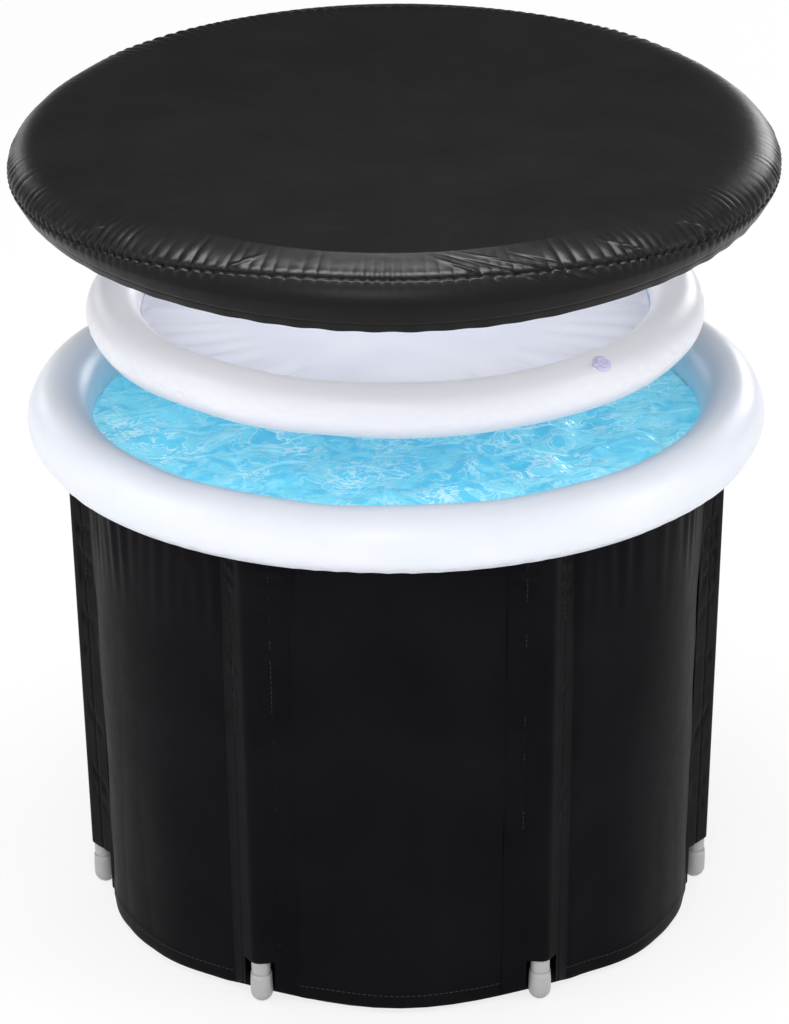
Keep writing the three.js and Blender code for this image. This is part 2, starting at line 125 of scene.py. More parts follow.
# Camera
VIEW_TARGET = Vector((-0.0033, 0.0, 0.552))
VIEW_DISTANCE = 8.565
VIEW_ELEVATION = 23.04
VIEW_ROLL = -0.46
FOCAL_PIXELS = 6313.6
IMAGE_HEIGHT = 1024
SENSOR_HEIGHT = 36.0

# Floor and lamps
FLOOR_REACH = 90.0
FLOOR_BELOW = 0.0004
FLOOR_TONE = 0.82
FLOOR_GLOW_SHARE = 0.80
# The world's light, from the front to the back
WORLD_FRONT = 0.95
WORLD_BACK = 0.10
WORLD_FADE = 0.75
# Name, place, aim, width, depth and power of each lamp
LAMPS = (
    ("key", (-0.5, -4.0, 3.3), (0, 0, 0.6), 2.2, 2.2, 40),
    ("top", (-0.1, 0.1, 4.7), (-0.1, 0.1001, 0.8), 2.6, 1.6, 58),
    ("strip", (0, -0.22, 2.4), (0, -0.2199, 1.1), 1.8, 0.45, 38),
    ("right", (2.8, 5.4, 2.0), (0.3, 0, 1.0), 1.8, 1.8, 60),
    ("left", (-3.0, 5.0, 1.9), (-0.3, 0, 1.0), 1.4, 1.4, 15),
    ("right_fill", (3.6, -0.6, 2.6), (0.3, 0, 0.7), 2.0, 2.0, 22),
    ("left_fill", (-3.6, -0.6, 2.6), (-0.3, 0, 0.7), 2.0, 2.0, 22),
    ("front", (0.6, -5.0, 1.5), (0, 0, 0.85), 1.8, 1.8, 2),
)
COVER_LAMP = ("under_cover", (0, 0, 1.088), (0, 0, 0), 0.7, 0.7, 1.9)

wall_lean = math.atan(WALL_SPREAD / WALL_SPREAD_HEIGHT)


def smoothstep(value, low, high):
    share = np.clip((value - low) / (high - low), 0.0, 1.0)
    return share * share * (3.0 - 2.0 * share)


def waves(azimuth, along, seed, count, low, high, along_scale):
    """A fixed sum of waves that closes round the ring, about 1 high."""
    source = np.random.default_rng(seed)
    total = np.zeros(np.broadcast(azimuth, along).shape)
    for _ in range(count):
        turns = source.integers(low, high + 1)
        phase = source.uniform(0.0, 2.0 * math.pi)
        tilt = source.normal(0.0, along_scale)
        total = total + np.sin(turns * azimuth + tilt * along + phase)
    return total / math.sqrt(count)


def mesh_object(name, points, faces, body, material):
    mesh = bpy.data.meshes.new(name)
    mesh.from_pydata([tuple(p) for p in points], [], faces)
    mesh.validate()
    mesh.shade_smooth()
    mesh.materials.append(material)
    made = bpy.data.objects.new(name, mesh)
    bpy.context.scene.collection.objects.link(made)
    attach(made, body)
    return made


def grid_faces(rows, columns, close_rows, close_columns):
    faces = []
    for i in range(rows if close_rows else rows - 1):
        below = i * columns
        above = ((i + 1) % rows) * columns
        for j in range(columns if close_columns else columns - 1):
            k = (j + 1) % columns
            faces.append((below + j, below + k, above + k, above + j))
    return faces


def ring_object(name, radius, height, azimuth, body, material, close_rows=True):
    """A piece that runs all the way round: radius and height have one row for each step of its profile."""
    radius, height, azimuth = np.broadcast_arrays(radius, height, azimuth)
    points = np.stack([radius * np.sin(azimuth), -radius * np.cos(azimuth), height], axis=-1)
    rows, columns = radius.shape
    faces = grid_faces(rows, columns, close_rows, True)
    return mesh_object(name, points.reshape(-1, 3), faces, body, material)


def turn(count):
    return np.linspace(0.0, 2.0 * math.pi, count, endpoint=False)[None, :]


def lathe_points(profile, segments):
    """Points and faces of a profile of (radius, height) pairs turned about its own axis."""
    profile = np.array(profile)
    angle = turn(segments)
    points = np.stack(
        [profile[:, :1] * np.sin(angle), -profile[:, :1] * np.cos(angle), profile[:, 1:] + 0 * angle], axis=-1
    )
    return points.reshape(-1, 3), grid_faces(len(profile), segments, True, True)


def rounded(profile, amount=0.0004, steps=3):
    """The profile with each corner cut by a small round."""
    profile = [np.array(p, float) for p in profile]
    made = []
    for i, corner in enumerate(profile):
        before = profile[i - 1]
        after = profile[(i + 1) % len(profile)]
        back = before - corner
        on = after - corner
        reach_back = min(amount, 0.45 * np.linalg.norm(back))
        reach_on = min(amount, 0.45 * np.linalg.norm(on))
        start = corner + back / max(np.linalg.norm(back), 1e-9) * reach_back
        finish = corner + on / max(np.linalg.norm(on), 1e-9) * reach_on
        for k in range(steps + 1):
            share = k / steps
            point = (1 - share) ** 2 * start + 2 * share * (1 - share) * corner + share**2 * finish
            made.append((max(point[0], 0.0), point[1]))
    return made


def placed(points, matrix):
    points = np.asarray(points)
    turned = points @ np.array(matrix.to_3x3()).T
    return turned + np.array(matrix.translation)


def wall_matrix(azimuth_degrees, foot_radius):
    azimuth = math.radians(azimuth_degrees)
    turned = Matrix.Rotation(azimuth, 4, "Z") @ Matrix.Rotation(wall_lean, 4, "X")
    place = Vector((foot_radius * math.sin(azimuth), -foot_radius * math.cos(azimuth), 0.0))
    return Matrix.Translation(place) @ turned


def tube_matrix(ring_radius, ring_height, tube_radius, azimuth_degrees, tilt_degrees):
    azimuth = math.radians(azimuth_degrees)
    tilt = math.radians(tilt_degrees)
    radius = ring_radius + tube_radius * math.cos(tilt)
    height = ring_height + tube_radius * math.sin(tilt)
    turned = Matrix.Rotation(azimuth, 4, "Z") @ Matrix.Rotation(math.pi / 2 - tilt, 4, "X")
    place = Vector((radius * math.sin(azimuth), -radius * math.cos(azimuth), height))
    return Matrix.Translation(place) @ turned


def wall_line(height):
    return WALL_FOOT_RADIUS + WALL_SPREAD * height / WALL_SPREAD_HEIGHT


def wall_bulge(azimuth):
    degrees = np.degrees(azimuth) % 360
    share = np.zeros_like(degrees)
    for i, start in enumerate(POLE_AZIMUTHS):
        span = (POLE_AZIMUTHS[(i + 1) % len(POLE_AZIMUTHS)] - start) % 360
        along = (degrees - start) % 360
        share = np.where(along <= span, along / span, share)
    return WALL_BULGE * np.sin(math.pi * share) ** 2


def from_pole(azimuth):
    """Signed degrees from the nearest pole."""
    degrees = np.degrees(azimuth) % 360
    nearest = np.full_like(degrees, 360.0)
    for pole in POLE_AZIMUTHS:
        gap = (degrees - pole + 180) % 360 - 180
        nearest = np.where(np.abs(gap) < np.abs(nearest), gap, nearest)
    return nearest


def collar_underside(radius):
    inside = COLLAR_TUBE_RADIUS**2 - (COLLAR_RING_RADIUS - radius) ** 2
    return COLLAR_HEIGHT - np.sqrt(np.maximum(inside, 0.03**2))


# Materials


def new_material(name):
    material = bpy.data.materials.new(name)
    material.use_nodes = True
    tree = material.node_tree
    shader = tree.nodes["Principled BSDF"]
    return material, tree, shader


def node(tree, kind, **settings):
    made = tree.nodes.new(kind)
    for key, value in settings.items():
        if key in made.inputs:
            made.inputs[key].default_value = value
        else:
            setattr(made, key, value)
    return made


def object_point(tree, scale):
    point = node(tree, "ShaderNodeTexCoord")
    mapping = node(tree, "ShaderNodeMapping")
    mapping.inputs["Scale"].default_value = scale
    tree.links.new(point.outputs["Object"], mapping.inputs["Vector"])
    return mapping.outputs["Vector"]


def noise(tree, scale, detail=3.0, roughness=0.5):
    made = node(tree, "ShaderNodeTexNoise", Scale=scale, Detail=detail, Roughness=roughness)
    tree.links.new(object_point(tree, (1, 1, 1)), made.inputs["Vector"])
    return made.outputs["Fac"]


def ramp(tree, value, stops):
    made = node(tree, "ShaderNodeValToRGB")
    while len(made.color_ramp.elements) < len(stops):
        made.color_ramp.elements.new(0.5)
    for element, (place, colour) in zip(made.color_ramp.elements, stops):
        element.position = place
        element.color = (*colour, 1.0)
    tree.links.new(value, made.inputs["Fac"])
    return made.outputs["Color"]


def number_range(tree, value, low, high):
    made = node(tree, "ShaderNodeMapRange")
    made.inputs["To Min"].default_value = low
    made.inputs["To Max"].default_value = high
    tree.links.new(value, made.inputs["Value"])
    return made.outputs["Result"]


def bump(tree, shader, value, strength, distance, under=None):
    made = node(tree, "ShaderNodeBump", Strength=strength, Distance=distance)
    tree.links.new(value, made.inputs["Height"])
    if under is not None:
        tree.links.new(under, made.inputs["Normal"])
    tree.links.new(made.outputs["Normal"], shader.inputs["Normal"])
    return made.outputs["Normal"]


def paint(tree, shader, spots, dark, light, grain, rough, detail=5.0):
    """Colour that wanders between two tones, and a roughness that varies a little."""
    colour = ramp(tree, noise(tree, spots, detail), [(0.3, dark), (0.7, light)])
    tree.links.new(colour, shader.inputs["Base Color"])
    uneven = number_range(tree, noise(tree, grain), rough - 0.05, rough + 0.07)
    tree.links.new(uneven, shader.inputs["Roughness"])


def cloth_material(name, dark, light, rough, gloss, grain_scale):
    material, tree, shader = new_material(name)
    shader.inputs["Specular IOR Level"].default_value = gloss
    paint(tree, shader, 9.0, dark, light, 40.0, rough)
    broad = bump(tree, shader, noise(tree, 55.0, 4.0), 0.18, 0.002)
    bump(tree, shader, noise(tree, grain_scale, 2.0), 0.25, 0.0003, broad)
    return material


def vinyl_material(name, dark, light, rough):
    material, tree, shader = new_material(name)
    paint(tree, shader, 6.0, dark, light, 30.0, rough)
    shader.inputs["Subsurface Weight"].default_value = 0.15
    shader.inputs["Subsurface Radius"].default_value = (0.01, 0.01, 0.014)
    broad = bump(tree, shader, noise(tree, 22.0, 3.0), 0.10, 0.004)
    bump(tree, shader, noise(tree, 900.0, 2.0), 0.05, 0.0003, broad)
    return material


def clear_vinyl_material(name, dark, light, clear, rough):
    material, tree, shader = new_material(name)
    paint(tree, shader, 8.0, dark, light, 25.0, rough, 1.0)
    shader.inputs["Transmission Weight"].default_value = clear
    shader.inputs["IOR"].default_value = 1.3
    bump(tree, shader, noise(tree, 30.0, 2.0), 0.12, 0.003)
    return material


def plastic_material(name, dark, light, rough):
    material, tree, shader = new_material(name)
    paint(tree, shader, 14.0, dark, light, 60.0, rough)
    bump(tree, shader, noise(tree, 700.0, 2.0), 0.08, 0.0004)
    return material


def ripple_lines(tree, scale, width, distortion):
    """A mask of thin lines where a wandering noise passes its middle, as a share from 0 to 1, used for
    painted glints.
    """
    wander = node(tree, "ShaderNodeTexNoise", Scale=scale, Detail=3.0, Roughness=0.55, Distortion=distortion)
    tree.links.new(object_point(tree, (1, 1.3, 1)), wander.inputs["Vector"])
    middle = node(tree, "ShaderNodeMath", operation="SUBTRACT")
    middle.inputs[1].default_value = 0.5
    tree.links.new(wander.outputs["Fac"], middle.inputs[0])
    away = node(tree, "ShaderNodeMath", operation="ABSOLUTE")
    tree.links.new(middle.outputs["Value"], away.inputs[0])
    line = node(tree, "ShaderNodeMapRange", interpolation_type="SMOOTHSTEP")
    line.inputs["From Max"].default_value = width
    line.inputs["To Min"].default_value = 1.0
    line.inputs["To Max"].default_value = 0.0
    tree.links.new(away.outputs["Value"], line.inputs["Value"])
    return wander.outputs["Fac"], line.outputs["Result"]


def times(tree, first, second):
    made = node(tree, "ShaderNodeMath", operation="MULTIPLY")
    tree.links.new(first, made.inputs[0])
    tree.links.new(second, made.inputs[1])
    return made.outputs["Value"]


def water_material(name):
    """Clear pool blue with painted glints, broken bright lines where the ripples would gather the light, and
    a weak painted glow.
    """
    material, tree, shader = new_material(name)
    deep, middle = (0.13, 0.60, 0.82), (0.20, 0.70, 0.87)
    pale, glint = (0.36, 0.82, 0.90), (0.97, 1.0, 1.0)
    swell, broad_glint_lines = ripple_lines(tree, 13.0, 0.022, 1.3)
    chop, fine_glint_lines = ripple_lines(tree, 26.0, 0.030, 0.9)
    patches = number_range(tree, noise(tree, 9.0, 2.0), -1.1, 2.0)
    depth = ramp(tree, chop, [(0.30, deep), (0.50, middle), (0.72, pale)])
    colour = depth
    # Painted glints: white is mixed into the base colour along the ripple lines, in broken patches.
    for lines in (broad_glint_lines, fine_glint_lines):
        share = node(tree, "ShaderNodeClamp")
        tree.links.new(times(tree, lines, patches), share.inputs["Value"])
        mixed = node(tree, "ShaderNodeMixRGB")
        mixed.inputs[2].default_value = (*glint, 1.0)
        tree.links.new(number_range(tree, share.outputs["Result"], 0.0, 0.7), mixed.inputs["Fac"])
        tree.links.new(colour, mixed.inputs[1])
        colour = mixed.outputs["Color"]
    tree.links.new(colour, shader.inputs["Base Color"])
    # Painted light: the water glows a little in its own colour, which brightens it in the lid's shade.
    tree.links.new(colour, shader.inputs["Emission Color"])
    shader.inputs["Emission Strength"].default_value = 0.28
    shader.inputs["Roughness"].default_value = 0.06
    shader.inputs["IOR"].default_value = 1.33
    broad = bump(tree, shader, swell, 0.35, 0.012)
    bump(tree, shader, chop, 0.35, 0.008, broad)
    return material


wall_tones = ((0.0035, 0.0035, 0.0045), (0.0055, 0.0055, 0.0068))
cover_tones = ((0.0026, 0.0026, 0.0028), (0.0040, 0.0040, 0.0042))
wall_cloth = cloth_material("wall_cloth", *wall_tones, 0.5, 0.035, CLOTH_GRAIN)
cover_cloth = cloth_material("cover_cloth", *cover_tones, 0.34, 0.18, CLOTH_GRAIN)
thread = plastic_material("thread", (0.012, 0.012, 0.013), (0.02, 0.02, 0.021), 0.6)
white_vinyl = vinyl_material("white_vinyl", (0.73, 0.76, 0.84), (0.78, 0.80, 0.87), 0.34)
lid_vinyl = vinyl_material("lid_vinyl", (0.78, 0.79, 0.86), (0.82, 0.83, 0.89), 0.36)
sheet_vinyl = clear_vinyl_material("sheet_vinyl", (0.70, 0.72, 0.85), (0.76, 0.78, 0.89), 0.05, 0.30)
valve_vinyl = clear_vinyl_material("valve_vinyl", (0.58, 0.57, 0.84), (0.70, 0.69, 0.92), 0.10, 0.18)
liner_vinyl = vinyl_material("liner_vinyl", (0.55, 0.72, 0.82), (0.62, 0.78, 0.88), 0.4)
pole_plastic = plastic_material("pole_plastic", (0.38, 0.38, 0.375), (0.44, 0.44, 0.435), 0.40)
drain_plastic = plastic_material("drain_plastic", (0.020, 0.020, 0.022), (0.030, 0.030, 0.032), 0.45)
seal_rubber = plastic_material("seal_rubber", (0.008, 0.008, 0.008), (0.014, 0.014, 0.014), 0.8)
padding = cloth_material("padding", (0.70, 0.70, 0.68), (0.80, 0.80, 0.78), 0.85, 0.1, FOAM_GRAIN)
pool_water = water_material("pool_water")


# Tub


def wall_radius(azimuth, height):
    """The outer face of the wall with its soft unevenness."""
    swollen = wall_line(height) + wall_bulge(azimuth)
    gap = np.abs(from_pole(azimuth))
    clear_of_pocket = smoothstep(gap, 4.0, 9.0)
    top = smoothstep(height, 0.50, 0.66)
    pleats = 0.0016 * top * (1.0 + waves(azimuth, height, 4, 7, 60, 110, 9.0))
    pull = 0.0014 * np.exp(-((gap - 7.0) / 4.0) ** 2) * (1.0 + waves(azimuth, height, 9, 5, 4, 16, 30.0))
    broad = 0.0012 * (1.0 + waves(azimuth, height, 2, 6, 5, 17, 7.0))
    return swollen + clear_of_pocket * np.maximum(pleats + pull + broad, 0.0)


def make_wall():
    azimuth = turn(900)
    heights = np.linspace(HEM_HEIGHT, WALL_TOP, 130)[:, None]
    outer = wall_radius(azimuth, heights)
    hem = HEM_FOLD * (1.0 - smoothstep(heights, 0.030, 0.0325))
    groove = -0.0006 * np.exp(-((heights - HEM_SEAM_HEIGHT) / 0.0012) ** 2)
    outer = outer + hem + groove
    high = np.minimum(heights + 0 * azimuth, collar_underside(outer) - 0.0006)
    stretch = (heights - HEM_HEIGHT) / (WALL_TOP - HEM_HEIGHT)
    high = high + smoothstep(stretch, 0.97, 1.0) * (collar_underside(outer) - 0.0008 - high)
    inner = outer - WALL_CLOTH
    radius = np.concatenate([outer, inner[::-1]])
    height = np.concatenate([high, high[::-1]])
    made = ring_object("wall", radius, height, azimuth, "tub", wall_cloth)
    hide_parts("outer_wall")


def pocket_section(radius, half_width, stitch_line, count):
    """Points across the strip of cloth that runs over a pole, from one stitch line to the other."""
    reach = math.hypot(half_width, stitch_line)
    start = math.atan2(stitch_line, half_width) - math.acos(radius / reach)
    arc = np.linspace(start, -math.pi - start, 41)
    tangent = np.array([radius * math.cos(start), radius * math.sin(start)])
    edge = np.array([half_width, stitch_line])
    flank = [edge + (tangent - edge) * share for share in np.linspace(0, 1, 16)[:-1]]
    half = np.array(flank)
    middle = np.stack([radius * np.cos(arc), radius * np.sin(arc)], axis=1)
    points = np.concatenate([half, middle, half[::-1] * np.array([-1, 1])])
    steps = np.concatenate([[0], np.cumsum(np.linalg.norm(np.diff(points, axis=0), axis=1))])
    places = np.linspace(0, steps[-1], count)
    x = np.interp(places, steps, points[:, 0])
    y = np.interp(places, steps, points[:, 1])
    return x, y


def pocket_rows():
    beside_notch = np.linspace(HEM_HEIGHT, NOTCH_TOP, 14)
    above_notch = np.linspace(NOTCH_TOP, POCKET_TOP, 150)
    return np.concatenate([beside_notch, above_notch[1:]])


def pocket_creases(number, x, height):
    """Short slanting folds beside the pole, and finer ones near the top."""
    source = np.random.default_rng(40 + number)
    crease = np.zeros((len(height), len(x)))
    for _ in range(POCKET_CREASES):
        place = source.uniform(0.08, 0.65)
        slope = source.uniform(-1.2, 1.2)
        depth = source.uniform(0.0006, 0.0022)
        crease += depth * np.exp(-((height - place - slope * x[None, :]) / 0.007) ** 2)
    top = smoothstep(height, 0.55, 0.655)
    crease += 0.0022 * top * np.sin(height * 260.0 + 90.0 * x[None, :] + number)
    return crease


def pocket_faces(x, rows, notch):
    """The faces of the strip, without those in the notch that lets the foot show."""
    count = len(x)
    faces = []
    for i in range(len(rows) - 1):
        for j in range(count - 1):
            middle = 0.5 * (x[j] + x[j + 1])
            in_notch = rows[i] < NOTCH_TOP - 1e-6 and abs(middle) < notch
            if in_notch:
                continue
            low = i * count + j
            faces.append((low, low + count, low + count + 1, low + 1))
    return faces


def make_pocket(number, azimuth_degrees):
    rows = pocket_rows()
    notch = SIDE_NOTCH_HALF_WIDTH if azimuth_degrees in (90, 270) else NOTCH_HALF_WIDTH
    stitch_line = POLE_FOOT_OFFSET - 0.0006
    x, y = pocket_section(POLE_RADIUS + POCKET_SLACK, POCKET_SPREAD, stitch_line, POCKET_COLUMNS)
    y = y + 0.0012 * np.exp(-(((np.abs(x) - POCKET_HALF_WIDTH) / 0.0018) ** 2))
    across = np.abs(x)[None, :]
    height = rows[:, None]
    flank = smoothstep(across, 0.013, 0.019) * (1 - smoothstep(across, 0.040, 0.048))
    y_rows = y[None, :] + flank * pocket_creases(number, x, height)
    beside_pole = 1 - smoothstep(across, NOTCH_HALF_WIDTH, POCKET_SPREAD)
    hem_lift = POCKET_HEM_LIFT * beside_pole * (1 - smoothstep(height, HEM_HEIGHT, NOTCH_TOP))
    points = np.stack([x[None, :] + 0 * height, y_rows, height + hem_lift], axis=-1)
    faces = pocket_faces(x, rows, notch)
    matrix = wall_matrix(azimuth_degrees, WALL_FOOT_RADIUS + POLE_FOOT_OFFSET)
    flat = placed(points.reshape(-1, 3), matrix)
    made = mesh_object(f"pocket_{number}", flat, faces, "tub", wall_cloth)
    thicken = made.modifiers.new("cloth", "SOLIDIFY")
    thicken.thickness = POCKET_CLOTH
    thicken.offset = -1.0
    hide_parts(f"pole_pocket_{number}")


def stitch_points(start, finish, outward):
    """One stitch: a short thread that dips into the cloth at both ends."""
    start, finish, outward = Vector(start), Vector(finish), Vector(outward).normalized()
    along = (finish - start).normalized()
    side = along.cross(outward).normalized()
    points = []
    sides = 6
    for share, lift, width in ((0.0, -0.3, 0.6), (0.2, 0.35, 1.0), (0.8, 0.35, 1.0), (1.0, -0.3, 0.6)):
        centre = start.lerp(finish, share) + outward * STITCH_RADIUS * lift
        for k in range(sides):
            angle = 2 * math.pi * k / sides
            reach = STITCH_RADIUS * width
            points.append(centre + side * reach * math.cos(angle) + outward * reach * math.sin(angle))
    faces = grid_faces(4, sides, False, True)
    faces.append(tuple(range(sides)))
    faces.append(tuple(range(4 * sides - 1, 3 * sides - 1, -1)))
    return points, faces


def make_stitching():
    """Rows of stitches down both edges of each pocket, and round the hem."""
    points, faces = [], []

    def add(start, finish, outward):
        new_points, new_faces = stitch_points(start, finish, outward)
        base = len(points)
        points.extend(new_points)
        faces.extend(tuple(base + k for k in face) for face in new_faces)

    for azimuth in POLE_AZIMUTHS:
        matrix = wall_matrix(azimuth, WALL_FOOT_RADIUS + POLE_FOOT_OFFSET)
        for side in (-1, 1):
            outward = matrix.to_3x3() @ Vector((0.5 * side, -0.87, 0))
            for low in np.arange(NOTCH_TOP + 0.002, 0.65, STITCH_STEP):
                start = Vector((side * POCKET_HALF_WIDTH, STITCH_DEPTH, low))
                finish = start + Vector((0.0, 0.0, STITCH_LENGTH))
                add(matrix @ start, matrix @ finish, outward)
    step = 2 * math.pi / HEM_STITCHES
    for k in range(HEM_STITCHES):
        ends = []
        for angle in (k * step, (k + 0.68) * step):
            face = wall_radius(np.array([[angle]]), np.array([[HEM_STITCH_HEIGHT]]))
            radius = float(face[0, 0]) + 0.0008
            ends.append(Vector((radius * math.sin(angle), -radius * math.cos(angle), HEM_STITCH_HEIGHT)))
        if abs(float(from_pole(np.array([k * step]))[0])) > 4.4:
            add(ends[0], ends[1], (math.sin(k * step), -math.cos(k * step), 0))
    mesh_object("stitching", points, faces, "tub", thread)


def make_leg(number, azimuth_degrees):
    matrix = wall_matrix(azimuth_degrees, WALL_FOOT_RADIUS + POLE_FOOT_OFFSET)
    body = f"leg_{number}"
    inner = POLE_RADIUS - POLE_WALL

    def add(name, replaced, profile):
        points, faces = lathe_points(profile, 48)
        made = mesh_object(name, placed(points, matrix), faces, body, pole_plastic)
        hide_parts(replaced)

    pole = [(POLE_RADIUS, POLE_LOW), (POLE_RADIUS, POLE_TOP), (inner, POLE_TOP), (inner, POLE_LOW)]
    add(f"pole_tube_{number}", f"pole_{number}", rounded(pole))
    bore = POLE_RADIUS + 0.0003
    centre = FOOT_RADIUS / math.cos(wall_lean)
    dome = [(0.0, centre - FOOT_RADIUS)]
    for degrees in range(6, 91, 6):
        angle = math.radians(degrees)
        dome.append((FOOT_RADIUS * math.sin(angle), centre - FOOT_RADIUS * math.cos(angle)))
    collar = [(FOOT_RADIUS, 0.030), (FOOT_RADIUS - 0.0004, 0.035), (bore + 0.0008, 0.042), (bore, 0.042)]
    foot = dome + collar + [(bore, 0.0087), (0.0, 0.0087)]
    add(f"foot_{number}", f"pole_foot_{number}", foot)
    plug = POLE_RADIUS - 0.0023
    seat = POLE_TOP + 0.0003
    low = POLE_TOP - 0.016
    top = seat + 0.004
    cap = [(0.0, low), (plug, low), (plug, seat), (POLE_RADIUS, seat), (POLE_RADIUS - 0.002, top), (0, top)]
    add(f"end_cap_{number}", f"pole_cap_{number}", rounded(cap))


def tube_ring(name, ring_radius, ring_height, tube_radius, body, material, seed, weld_degrees):
    """An inflated tube, a little uneven, with its weld as a fine ridge between two puckered strips."""
    azimuth = turn(720)
    angle = np.linspace(0, 2 * math.pi, 96, endpoint=False)[:, None]
    uneven = 0.0008 * waves(azimuth, np.sin(angle), seed, 6, 3, 14, 2.0)
    reach = tube_radius - 0.0006 + uneven
    for weld in weld_degrees:
        gap = (np.degrees(angle) - weld + 180) % 360 - 180
        ridge = 0.0007 * np.exp(-((gap / 1.6) ** 2))
        beside = np.exp(-((np.abs(gap) - 9) / 8) ** 2)
        pucker = 0.0009 * beside * waves(azimuth, angle, seed + 3, 7, 70, 130, 3.0)
        reach = reach + ridge + pucker
    reach = np.minimum(reach, tube_radius + 0.0001)
    radius = ring_radius + reach * np.cos(angle)
    height = ring_height + reach * np.sin(angle)
    return ring_object(name, radius, height, azimuth, body, material)


def make_valve(part, matrix, tube_radius, base_body, plug_body):
    ring = [
        (0.0052, -0.007), (0.0086, -0.007), (0.0086, 0.0007), (0.013, 0.0007), (0.013, 0.0017),
        (0.0095, 0.0026), (0.0052, 0.0026),
    ]
    points, faces = lathe_points(rounded(ring), VALVE_SEGMENTS)
    points[:, 2] -= tube_radius - np.sqrt(tube_radius**2 - points[:, 1] ** 2)
    welded = placed(points, matrix)
    made = mesh_object(f"{part}_valve_ring", welded, faces, base_body, valve_vinyl)
    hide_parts(f"{part}_valve_base")
    plug = [
        (0.0, -0.003), (0.0036, -0.003), (0.0044, 0.0031), (0.0084, 0.0031), (0.0084, 0.0046),
        (0.0076, 0.0052), (0.0050, 0.0052), (0.0045, 0.0046), (0.0, 0.0046),
    ]
    points, faces = lathe_points(rounded(plug), VALVE_SEGMENTS)
    stem_count = len(points)
    strap = []
    for along in np.linspace(-0.0075, -0.018, STRAP_STEPS):
        half = 0.0025 - 0.0006 * math.sin(math.pi * (along + 0.018) / 0.0105)
        for y, z in ((-half, 0.0032), (half, 0.0032), (half, 0.0044), (-half, 0.0044)):
            strap.append((along, y, z))
    strap_faces = [tuple(stem_count + k for k in face) for face in grid_faces(STRAP_STEPS, 4, False, True)]
    strap_end = stem_count + 4 * (STRAP_STEPS - 1)
    strap_faces.append(tuple(stem_count + k for k in (0, 1, 2, 3)))
    strap_faces.append(tuple(strap_end + k for k in (3, 2, 1, 0)))
    every = placed(np.concatenate([points, np.array(strap)]), matrix)
    made = mesh_object(f"{part}_plug_cap", every, faces + strap_faces, plug_body, valve_vinyl)
    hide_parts(f"{part}_valve_plug")


def make_collar():
    sizes = (COLLAR_RING_RADIUS, COLLAR_HEIGHT, COLLAR_TUBE_RADIUS)
    made = tube_ring("collar", *sizes, "tub", white_vinyl, 21, COLLAR_WELDS)
    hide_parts("air_collar")
    matrix = tube_matrix(*sizes, *COLLAR_VALVE)
    make_valve("collar", matrix, COLLAR_TUBE_RADIUS, "tub", "collar_plug")


def make_water():
    azimuth = turn(360)
    radius = np.linspace(0.0, WATER_RADIUS, 150)[:, None]
    x = radius * np.sin(azimuth)
    y = -radius * np.cos(azimuth)
    source = np.random.default_rng(77)
    lift = np.zeros_like(x)
    for _ in range(WATER_WAVES):
        direction = source.uniform(0, 2 * math.pi)
        length = source.uniform(0.03, 0.13)
        phase = source.uniform(0, 2 * math.pi)
        along = x * math.cos(direction) + y * math.sin(direction)
        lift += 0.012 * length * np.sin(2 * math.pi * along / length + phase)
    calm = 1 - smoothstep(radius, WATER_RADIUS - 0.02, WATER_RADIUS)
    height = WATER_LEVEL + lift * (0.3 + 0.7 * calm)
    ring_object("water", radius, height, azimuth, "tub", pool_water, close_rows=False)


def drain_matrix():
    foot = WALL_FOOT_RADIUS + WALL_BULGE
    matrix = wall_matrix(180, foot)
    return matrix @ Matrix.Translation((0, 0, DRAIN_HEIGHT)) @ Matrix.Rotation(math.pi / 2, 4, "X")


def make_drain():
    matrix = drain_matrix()

    def add(name, replaced, profile, body, slot, material, segments=64, ribs=(0, 0.0, 0.0)):
        points, faces = lathe_points(rounded(profile), segments)
        count, depth, beyond = ribs
        if count:
            reach = np.hypot(points[:, 0], points[:, 1])
            angle = np.arctan2(points[:, 0], -points[:, 1])
            grown = np.where(reach > beyond, 1 + depth * np.cos(count * angle) / np.maximum(reach, 1e-6), 1.0)
            points[:, :2] *= grown[:, None]
        made = mesh_object(name, placed(points, matrix), faces, body, material)
        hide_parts(replaced)

    spout = [
        (0.011, -0.026), (0.0145, -0.026), (0.0145, 0.0007), (0.026, 0.0007), (0.026, 0.0035),
        (0.024, 0.0047), (0.016, 0.0047), (0.016, 0.024), (0.011, 0.024),
    ]
    add("spout", "drain_spout", spout, "tub", "drain_plastic", drain_plastic)
    washer = [(0.015, -0.0152), (0.023, -0.0152), (0.023, -0.0134), (0.015, -0.0134)]
    add("washer", "drain_washer", washer, "tub", "seal_rubber", seal_rubber)
    nut = [(0.0149, -0.022), (0.023, -0.022), (0.023, -0.0156), (0.0149, -0.0156)]
    add("inner_nut", "drain_nut", nut, "tub", "drain_plastic", drain_plastic, 96, (6, 0.0012, 0.020))
    seal = [(0.009, 0.0243), (0.0156, 0.0243), (0.0156, 0.0263), (0.009, 0.0263)]
    add("cap_seal", "drain_seal", seal, "drain_seal", "seal_rubber", seal_rubber)
    cap = [
        (0, 0.0266), (0.0165, 0.0266), (0.0165, 0.0125), (0.02, 0.0125), (0.02, 0.0285),
        (0.0185, 0.03), (0, 0.03),
    ]
    add("screw_cap", "drain_cap", cap, "drain_cap", "drain_plastic", drain_plastic, 192, (12, 0.0008, 0.0182))


# Lid


